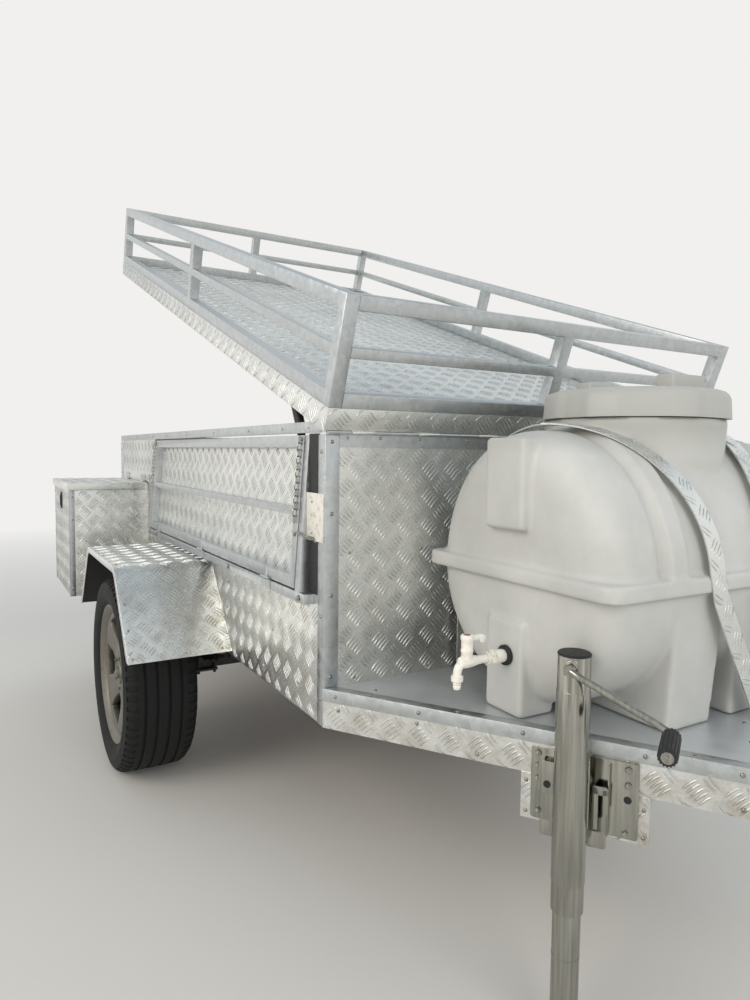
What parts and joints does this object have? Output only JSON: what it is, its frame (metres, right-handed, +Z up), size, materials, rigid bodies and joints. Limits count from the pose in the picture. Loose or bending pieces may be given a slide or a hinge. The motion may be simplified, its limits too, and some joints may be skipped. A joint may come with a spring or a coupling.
{
  "type": "box camping trailer with lifting lid, roof rack and drawbar water tank",
  "caption": "Single-axle box trailer in chequer plate with a lifting lid and roof rack, side hatches, side boxes, jack stand and a water tank on the drawbar.",
  "frame": {"origin": "on the ground, in the middle of the trailer's length and width", "axes": "+X forward to the coupling, +Y to the trailer's left, +Z up"},
  "size_m": [3.624, 2.0086, 2.3298],
  "materials": {
    "black_steel": "satin",
    "chequer": "satin",
    "deck_sheet": "matte",
    "frame_steel": "satin",
    "galvanised": "satin",
    "grip_rubber": "matte",
    "lamp_plastic": "gloss",
    "tank_plastic": "matte",
    "tap_plastic": "gloss",
    "tyre_rubber": "matte",
    "wheel_alloy": "satin"
  },
  "bodies": {
    "chassis": {"axle": "frame_steel", "box_floor": "deck_sheet", "chassis_rails": "frame_steel", "corner_angles": "galvanised", "coupling": "galvanised", "cross_members": "frame_steel", "drawbar_cross_members": "frame_steel", "drawbar_rails": "frame_steel", "edge_angles": "galvanised", "fixed_hinges": "galvanised", "front_wall": "chequer", "hatch_latches": "galvanised", "hatch_surrounds": "galvanised", "jack_bracket": "galvanised", "mudguards": "chequer", "platform_deck": "deck_sheet", "platform_skirts": "chequer", "rear_wall": "chequer", "side_box_left": "chequer", "side_box_right": "chequer", "side_wall_left": "chequer", "side_wall_right": "chequer", "spring_fittings": "frame_steel", "springs": "frame_steel", "tail_lamps": "lamp_plastic", "tank_lid": "tank_plastic", "tank_straps": "chequer", "tap": "tap_plastic", "top_strips": "galvanised", "water_tank": "tank_plastic"},
    "wheel_right": {"rim_right": "wheel_alloy", "tyre_right": "tyre_rubber"},
    "wheel_left": {"rim_left": "wheel_alloy", "tyre_left": "tyre_rubber"},
    "lid": {"lid_tray": "chequer", "lid_ribs": "deck_sheet", "rack_right": "galvanised", "rack_left": "galvanised", "rack_front": "galvanised", "rack_rear": "galvanised"},
    "tailgate": {"tailgate": "chequer"},
    "jack": {"jack_tube": "galvanised", "jack_crank": "galvanised", "jack_grip": "grip_rubber"},
    "jack_leg": {"jack_leg": "galvanised"},
    "hatch_right": {"hatch_frame_right": "galvanised", "hatch_panel_right": "chequer", "hatch_chains_right": "galvanised"},
    "side_box_lid_right": {"side_box_lid_right": "chequer"},
    "strut_cylinder_right": {"strut_cylinder_right": "black_steel"},
    "strut_rod_right": {"strut_rod_right": "galvanised"},
    "hatch_left": {"hatch_frame_left": "galvanised", "hatch_panel_left": "chequer", "hatch_chains_left": "galvanised"},
    "side_box_lid_left": {"side_box_lid_left": "chequer"},
    "strut_cylinder_left": {"strut_cylinder_left": "black_steel"},
    "strut_rod_left": {"strut_rod_left": "galvanised"}
  },
  "joints": [
    {"name": "wheel_spin_right", "type": "hinge", "parent": "chassis", "child": "wheel_right", "pos_m": [-0.498, -0.84, 0.345], "axis": [0, 1, 0], "continuous": true},
    {"name": "wheel_spin_left", "type": "hinge", "parent": "chassis", "child": "wheel_left", "pos_m": [-0.498, 0.84, 0.345], "axis": [0, 1, 0], "continuous": true},
    {"name": "lid_hinge", "type": "hinge", "parent": "chassis", "child": "lid", "pos_m": [0.66, 0, 1.195], "axis": [0, 1, 0], "range_deg": [-20, 0]},
    {"name": "strut_turn_right", "type": "hinge", "parent": "chassis", "child": "strut_cylinder_right", "pos_m": [0.582, -0.612, 0.89], "axis": [0, 1, 0], "range_deg": [-11.51, 1]},
    {"name": "strut_slide_right", "type": "slide", "parent": "strut_cylinder_right", "child": "strut_rod_right", "axis": [-0.4801, 0, 0.8772], "range_m": [-0.0839, 0.002]},
    {"name": "strut_turn_left", "type": "hinge", "parent": "chassis", "child": "strut_cylinder_left", "pos_m": [0.582, 0.612, 0.89], "axis": [0, 1, 0], "range_deg": [-11.51, 1]},
    {"name": "strut_slide_left", "type": "slide", "parent": "strut_cylinder_left", "child": "strut_rod_left", "axis": [-0.4801, 0, 0.8772], "range_m": [-0.0839, 0.002]},
    {"name": "hatch_hinge_right", "type": "hinge", "parent": "chassis", "child": "hatch_right", "pos_m": [-0.248, -0.69199, 0.81229], "axis": [1, 0, 0], "range_deg": [0, 90]},
    {"name": "side_box_lid_hinge_right", "type": "hinge", "parent": "chassis", "child": "side_box_lid_right", "pos_m": [-1.448, -0.668, 1.006], "axis": [-1, 0, 0], "range_deg": [0, 80]},
    {"name": "hatch_hinge_left", "type": "hinge", "parent": "chassis", "child": "hatch_left", "pos_m": [-0.248, 0.69199, 0.81229], "axis": [-1, 0, 0], "range_deg": [0, 90]},
    {"name": "side_box_lid_hinge_left", "type": "hinge", "parent": "chassis", "child": "side_box_lid_left", "pos_m": [-1.448, 0.668, 1.006], "axis": [1, 0, 0], "range_deg": [0, 80]},
    {"name": "tailgate_hinge", "type": "hinge", "parent": "chassis", "child": "tailgate", "pos_m": [-1.793, 0, 0.64], "axis": [0, -1, 0], "range_deg": [0, 90]},
    {"name": "jack_swing", "type": "hinge", "parent": "chassis", "child": "jack", "pos_m": [1.18025, -0.39565, 0.5], "axis": [-0.5446, 0.8387, 0], "range_deg": [0, 90]},
    {"name": "jack_leg_slide", "type": "slide", "parent": "jack", "child": "jack_leg", "axis": [0, 0, 1], "range_m": [0, 0.2]}
  ],
  "couplings": [
    {"joint": "strut_turn_right", "follows": "lid_hinge", "ratio": 0.52546},
    {"joint": "strut_slide_right", "follows": "lid_hinge", "m_per_rad": 0.23463},
    {"joint": "strut_turn_left", "follows": "lid_hinge", "ratio": 0.52546},
    {"joint": "strut_slide_left", "follows": "lid_hinge", "m_per_rad": 0.23463}
  ]
}
